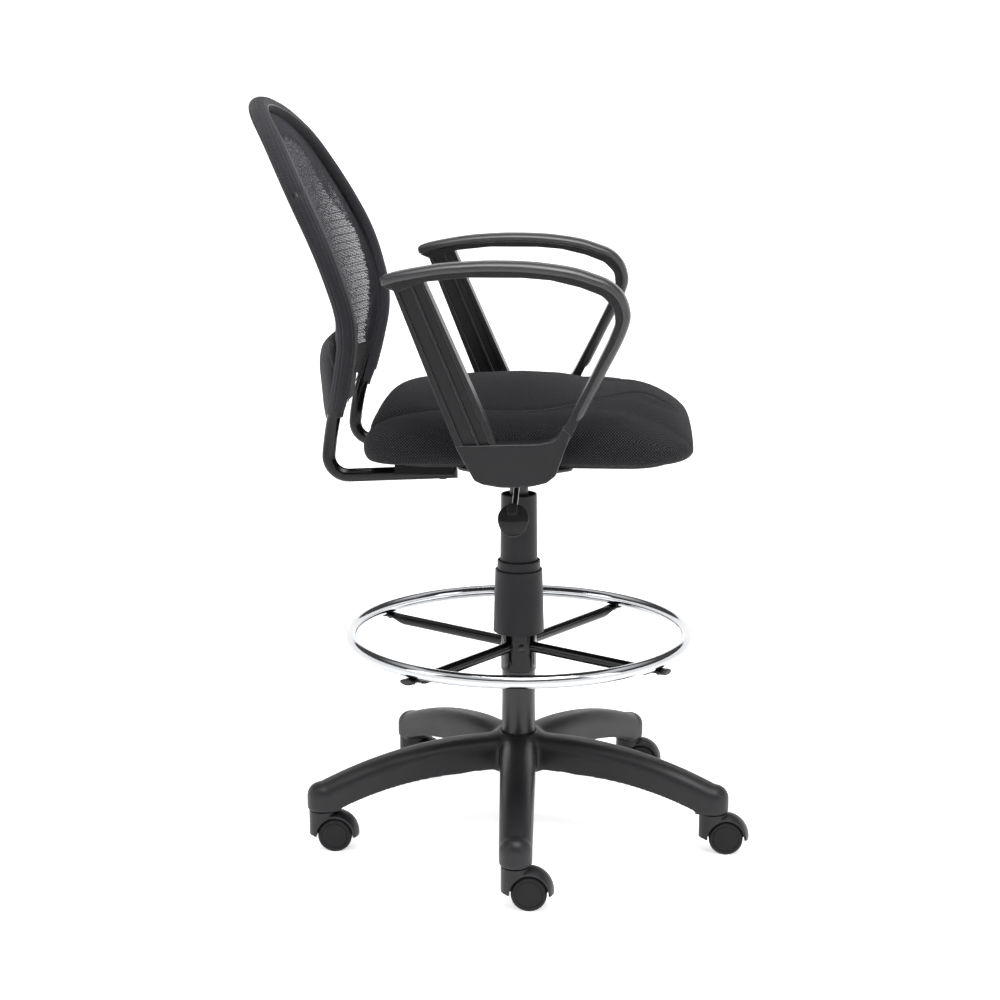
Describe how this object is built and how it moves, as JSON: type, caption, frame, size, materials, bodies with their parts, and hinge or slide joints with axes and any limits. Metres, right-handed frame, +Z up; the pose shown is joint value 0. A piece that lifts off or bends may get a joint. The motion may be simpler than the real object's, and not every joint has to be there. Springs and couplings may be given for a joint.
{
  "type": "drafting chair",
  "caption": "Tall drafting chair with a mesh back on a bent tube, padded seat, loop arms, gas lift with telescopic cover, foot ring and star base on twin-wheel casters.",
  "frame": {"origin": "on the floor, under the centre of the gas column", "axes": "+Z up, -Y the way the sitter faces, +X the sitter's left"},
  "size_m": [0.6028, 0.727, 1.0942],
  "materials": {
    "base_nylon": "satin",
    "black_steel": "satin",
    "gloss_black_steel": "gloss",
    "bush_plastic": "matte",
    "cover_plastic": "satin",
    "ring_chrome": "polished",
    "cap_plastic": "gloss",
    "fastener_steel": "satin",
    "bare_steel": "satin",
    "pan_board": "matte",
    "saddle_plastic": "matte",
    "seat_fabric": "matte",
    "arm_plastic": "satin",
    "arm_pad_soft": "satin",
    "border_fabric": "matte",
    "mesh_fabric": "matte",
    "panel_fabric": "matte",
    "lumbar_fabric": "matte",
    "paddle_plastic": "satin",
    "hood_nylon": "satin",
    "wheel_nylon": "satin"
  },
  "bodies": {
    "base": {"base_star": "base_nylon", "column_tube": "black_steel", "guide_bush": "bush_plastic", "cover_lower": "cover_plastic", "foot_ring": "ring_chrome", "foot_ring_spider": "gloss_black_steel", "foot_ring_end_caps": "cap_plastic", "foot_ring_screws": "fastener_steel"},
    "spindle": {"piston_rod": "bare_steel", "thrust_bearing": "bare_steel", "rod_clip": "bare_steel"},
    "cover_middle": {"cover_middle": "cover_plastic"},
    "seat": {"gas_cylinder": "black_steel", "cover_upper": "cover_plastic", "seat_plate": "black_steel", "seat_plate_bolts": "fastener_steel", "seat_pan": "pan_board", "seat_cushion": "seat_fabric", "arm_bolts": "fastener_steel", "arm_frame_left": "arm_plastic", "arm_frame_right": "arm_plastic", "arm_pad_left": "arm_pad_soft", "arm_pad_right": "arm_pad_soft", "back_frame": "gloss_black_steel", "back_tube_plugs": "cap_plastic", "back_saddles": "saddle_plastic", "back_bolts": "fastener_steel", "back_border": "border_fabric", "back_mesh": "mesh_fabric", "back_lower_panel": "panel_fabric", "lumbar_pad": "lumbar_fabric"},
    "lever": {"lever_rod": "gloss_black_steel", "lever_paddle": "paddle_plastic"},
    "release_pin": {"release_pin": "bare_steel"},
    "caster_1": {"caster_1_stem": "bare_steel", "caster_1_hood": "hood_nylon", "caster_1_axle": "bare_steel"},
    "caster_1_wheel_left": {"caster_1_wheel_left": "wheel_nylon"},
    "caster_1_wheel_right": {"caster_1_wheel_right": "wheel_nylon"},
    "caster_2": {"caster_2_stem": "bare_steel", "caster_2_hood": "hood_nylon", "caster_2_axle": "bare_steel"},
    "caster_2_wheel_left": {"caster_2_wheel_left": "wheel_nylon"},
    "caster_2_wheel_right": {"caster_2_wheel_right": "wheel_nylon"},
    "caster_3": {"caster_3_stem": "bare_steel", "caster_3_hood": "hood_nylon", "caster_3_axle": "bare_steel"},
    "caster_3_wheel_left": {"caster_3_wheel_left": "wheel_nylon"},
    "caster_3_wheel_right": {"caster_3_wheel_right": "wheel_nylon"},
    "caster_4": {"caster_4_stem": "bare_steel", "caster_4_hood": "hood_nylon", "caster_4_axle": "bare_steel"},
    "caster_4_wheel_left": {"caster_4_wheel_left": "wheel_nylon"},
    "caster_4_wheel_right": {"caster_4_wheel_right": "wheel_nylon"},
    "caster_5": {"caster_5_stem": "bare_steel", "caster_5_hood": "hood_nylon", "caster_5_axle": "bare_steel"},
    "caster_5_wheel_left": {"caster_5_wheel_left": "wheel_nylon"},
    "caster_5_wheel_right": {"caster_5_wheel_right": "wheel_nylon"}
  },
  "joints": [
    {"name": "column_swivel", "type": "hinge", "parent": "base", "child": "spindle", "pos_m": [0, 0, 0.1], "axis": [0, 0, 1], "continuous": true},
    {"name": "gas_lift", "type": "slide", "parent": "spindle", "child": "seat", "axis": [0, 0, 1], "range_m": [0, 0.127]},
    {"name": "cover_slide", "type": "slide", "parent": "base", "child": "cover_middle", "axis": [0, 0, 1], "range_m": [0, 0.0765]},
    {"name": "lever_lift", "type": "hinge", "parent": "seat", "child": "lever", "pos_m": [-0.029, -0.004, 0.5873], "axis": [0, 1, 0], "range_deg": [0, 6], "stiffness_Nm_per_rad": 2, "springref_deg": -6.88},
    {"name": "valve_press", "type": "slide", "parent": "seat", "child": "release_pin", "axis": [0, 0, -1], "range_m": [0, 0.0035]},
    {"name": "caster_1_swivel", "type": "hinge", "parent": "base", "child": "caster_1", "pos_m": [-0.30281, -0.01084, 0.06], "axis": [0, 0, 1], "continuous": true},
    {"name": "caster_1_roll_left", "type": "hinge", "parent": "caster_1", "child": "caster_1_wheel_left", "pos_m": [-0.30281, -0.02984, 0.025], "axis": [1, 0, 0], "continuous": true},
    {"name": "caster_1_roll_right", "type": "hinge", "parent": "caster_1", "child": "caster_1_wheel_right", "pos_m": [-0.30281, -0.02984, 0.025], "axis": [1, 0, 0], "continuous": true},
    {"name": "caster_2_swivel", "type": "hinge", "parent": "base", "child": "caster_2", "pos_m": [-0.08326, -0.29134, 0.06], "axis": [0, 0, 1], "continuous": true},
    {"name": "caster_2_roll_left", "type": "hinge", "parent": "caster_2", "child": "caster_2_wheel_left", "pos_m": [-0.08326, -0.31034, 0.025], "axis": [1, 0, 0], "continuous": true},
    {"name": "caster_2_roll_right", "type": "hinge", "parent": "caster_2", "child": "caster_2_wheel_right", "pos_m": [-0.08326, -0.31034, 0.025], "axis": [1, 0, 0], "continuous": true},
    {"name": "caster_3_swivel", "type": "hinge", "parent": "base", "child": "caster_3", "pos_m": [0.25135, -0.16922, 0.06], "axis": [0, 0, 1], "continuous": true},
    {"name": "caster_3_roll_left", "type": "hinge", "parent": "caster_3", "child": "caster_3_wheel_left", "pos_m": [0.25135, -0.18822, 0.025], "axis": [1, 0, 0], "continuous": true},
    {"name": "caster_3_roll_right", "type": "hinge", "parent": "caster_3", "child": "caster_3_wheel_right", "pos_m": [0.25135, -0.18822, 0.025], "axis": [1, 0, 0], "continuous": true},
    {"name": "caster_4_swivel", "type": "hinge", "parent": "base", "child": "caster_4", "pos_m": [0.2386, 0.18675, 0.06], "axis": [0, 0, 1], "continuous": true},
    {"name": "caster_4_roll_left", "type": "hinge", "parent": "caster_4", "child": "caster_4_wheel_left", "pos_m": [0.2386, 0.16775, 0.025], "axis": [1, 0, 0], "continuous": true},
    {"name": "caster_4_roll_right", "type": "hinge", "parent": "caster_4", "child": "caster_4_wheel_right", "pos_m": [0.2386, 0.16775, 0.025], "axis": [1, 0, 0], "continuous": true},
    {"name": "caster_5_swivel", "type": "hinge", "parent": "base", "child": "caster_5", "pos_m": [-0.10388, 0.28464, 0.06], "axis": [0, 0, 1], "continuous": true},
    {"name": "caster_5_roll_left", "type": "hinge", "parent": "caster_5", "child": "caster_5_wheel_left", "pos_m": [-0.10388, 0.26564, 0.025], "axis": [1, 0, 0], "continuous": true},
    {"name": "caster_5_roll_right", "type": "hinge", "parent": "caster_5", "child": "caster_5_wheel_right", "pos_m": [-0.10388, 0.26564, 0.025], "axis": [1, 0, 0], "continuous": true}
  ],
  "couplings": [
    {"joint": "cover_slide", "follows": "gas_lift", "ratio": 0.6},
    {"joint": "valve_press", "follows": "lever_lift", "m_per_rad": 0.029}
  ]
}
